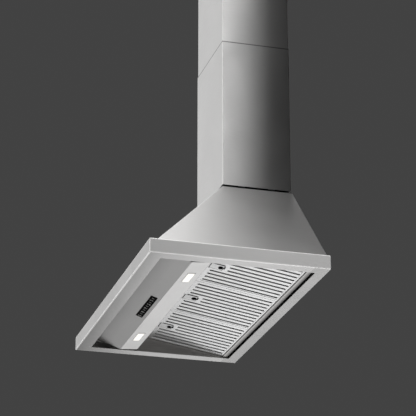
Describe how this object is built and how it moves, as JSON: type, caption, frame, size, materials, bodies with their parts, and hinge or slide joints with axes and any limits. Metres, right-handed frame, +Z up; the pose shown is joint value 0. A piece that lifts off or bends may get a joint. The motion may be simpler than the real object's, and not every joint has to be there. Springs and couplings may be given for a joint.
{
  "type": "wall canopy range hood",
  "caption": "Stainless wall canopy range hood: pyramid canopy on a box rim, telescoping chimney, baffle filters with latches, push buttons, lamps and an inner blower.",
  "frame": {"origin": "on the wall face, half way along the hood, level with the underside of the rim", "axes": "+X along the wall to the right as seen from the room, +Y into the wall, +Z up"},
  "size_m": [0.9, 0.5, 1.12],
  "materials": {
    "stainless_sheet": "brushed stainless steel, satin",
    "filter_steel": "satin stainless steel",
    "galvanised": "galvanised steel, dull",
    "fastener_steel": "zinc-plated steel",
    "shaft_steel": "ground steel",
    "alu_sheet": "mill finish aluminium",
    "alu_cast": "die-cast aluminium",
    "motor_enamel": "dark grey enamel",
    "black_plastic": "black, fine satin grain",
    "button_plastic": "black, semi-gloss",
    "casing_plastic": "dark grey moulded plastic",
    "box_plastic": "light grey moulded plastic",
    "lens_plastic": "frosted opal plastic",
    "board": "green circuit board",
    "mount_rubber": "black rubber"
  },
  "bodies": {
    "hood": {"back_panel": "galvanised", "blower_casing_left": "casing_plastic", "blower_casing_right": "casing_plastic", "button_bezel": "black_plastic", "cable_gland": "black_plastic", "canopy_shell": "stainless_sheet", "case_screws": "fastener_steel", "chimney_clips": "galvanised", "control_housing": "stainless_sheet", "electronics_box": "box_plastic", "electronics_cover": "box_plastic", "filter_ledge": "stainless_sheet", "filter_rail": "stainless_sheet", "flap_pin": "shaft_steel", "lamp_frame_left": "stainless_sheet", "lamp_frame_right": "stainless_sheet", "lamp_heat_sink_left": "alu_cast", "lamp_heat_sink_right": "alu_cast", "lamp_lens_left": "lens_plastic", "lamp_lens_right": "lens_plastic", "lower_chimney": "stainless_sheet", "machine_screws": "fastener_steel", "motor_bearings": "shaft_steel", "motor_body": "motor_enamel", "motor_mounts": "mount_rubber", "motor_spider": "galvanised", "outlet_collar": "galvanised", "power_board": "board", "rim_frame": "stainless_sheet", "side_liner_left": "stainless_sheet", "side_liner_right": "stainless_sheet", "switch_board": "board", "top_plate": "galvanised"},
    "filter_left": {"filter_left_frame": "filter_steel", "filter_left_front_baffle": "filter_steel", "filter_left_rear_baffle": "filter_steel"},
    "latch_left": {"filter_left_latch": "filter_steel", "filter_left_latch_grip": "black_plastic"},
    "filter_middle": {"filter_middle_frame": "filter_steel", "filter_middle_front_baffle": "filter_steel", "filter_middle_rear_baffle": "filter_steel"},
    "latch_middle": {"filter_middle_latch": "filter_steel", "filter_middle_latch_grip": "black_plastic"},
    "filter_right": {"filter_right_frame": "filter_steel", "filter_right_front_baffle": "filter_steel", "filter_right_rear_baffle": "filter_steel"},
    "latch_right": {"filter_right_latch": "filter_steel", "filter_right_latch_grip": "black_plastic"},
    "button_light": {"button_light": "button_plastic"},
    "button_off": {"button_off": "button_plastic"},
    "button_low": {"button_low": "button_plastic"},
    "button_medium": {"button_medium": "button_plastic"},
    "button_high": {"button_high": "button_plastic"},
    "blower_rotor": {"blower_wheel": "galvanised", "motor_shaft": "shaft_steel"},
    "flap_front": {"damper_flap_front": "alu_sheet"},
    "flap_rear": {"damper_flap_rear": "alu_sheet"},
    "chimney_extension": {"upper_chimney": "stainless_sheet", "chimney_bracket": "galvanised", "chimney_screws": "fastener_steel"}
  },
  "joints": [
    {"name": "filter_left_tilt", "type": "hinge", "parent": "hood", "child": "filter_left", "pos_m": [-0.2732, -0.052, 0.0053], "axis": [1, 0, 0], "range_deg": [0, 35]},
    {"name": "filter_middle_tilt", "type": "hinge", "parent": "hood", "child": "filter_middle", "pos_m": [0, -0.052, 0.0053], "axis": [1, 0, 0], "range_deg": [0, 35]},
    {"name": "filter_right_tilt", "type": "hinge", "parent": "hood", "child": "filter_right", "pos_m": [0.2732, -0.052, 0.0053], "axis": [1, 0, 0], "range_deg": [0, 35]},
    {"name": "latch_left_slide", "type": "slide", "parent": "filter_left", "child": "latch_left", "axis": [0, 0.9865, -0.1635], "range_m": [0, 0.007], "stiffness_N_per_m": 300, "springref_m": -0.004},
    {"name": "latch_middle_slide", "type": "slide", "parent": "filter_middle", "child": "latch_middle", "axis": [0, 0.9865, -0.1635], "range_m": [0, 0.007], "stiffness_N_per_m": 300, "springref_m": -0.004},
    {"name": "latch_right_slide", "type": "slide", "parent": "filter_right", "child": "latch_right", "axis": [0, 0.9865, -0.1635], "range_m": [0, 0.007], "stiffness_N_per_m": 300, "springref_m": -0.004},
    {"name": "button_light_press", "type": "slide", "parent": "hood", "child": "button_light", "axis": [0, 0.3177, 0.9482], "range_m": [0, 0.001], "stiffness_N_per_m": 900, "springref_m": -0.0006},
    {"name": "button_off_press", "type": "slide", "parent": "hood", "child": "button_off", "axis": [0, 0.3177, 0.9482], "range_m": [0, 0.001], "stiffness_N_per_m": 900, "springref_m": -0.0006},
    {"name": "button_low_press", "type": "slide", "parent": "hood", "child": "button_low", "axis": [0, 0.3177, 0.9482], "range_m": [0, 0.001], "stiffness_N_per_m": 900, "springref_m": -0.0006},
    {"name": "button_medium_press", "type": "slide", "parent": "hood", "child": "button_medium", "axis": [0, 0.3177, 0.9482], "range_m": [0, 0.001], "stiffness_N_per_m": 900, "springref_m": -0.0006},
    {"name": "button_high_press", "type": "slide", "parent": "hood", "child": "button_high", "axis": [0, 0.3177, 0.9482], "range_m": [0, 0.001], "stiffness_N_per_m": 900, "springref_m": -0.0006},
    {"name": "blower_spin", "type": "hinge", "parent": "hood", "child": "blower_rotor", "pos_m": [0, -0.149, 0.192], "axis": [1, 0, 0], "continuous": true},
    {"name": "flap_front_swing", "type": "hinge", "parent": "hood", "child": "flap_front", "pos_m": [0, -0.104, 0.365], "axis": [-1, 0, 0], "range_deg": [0, 75]},
    {"name": "flap_rear_swing", "type": "hinge", "parent": "hood", "child": "flap_rear", "pos_m": [0, -0.104, 0.365], "axis": [1, 0, 0], "range_deg": [0, 75]},
    {"name": "chimney_telescope", "type": "slide", "parent": "hood", "child": "chimney_extension", "axis": [0, 0, 1], "range_m": [-0.29, 0.06]}
  ]
}
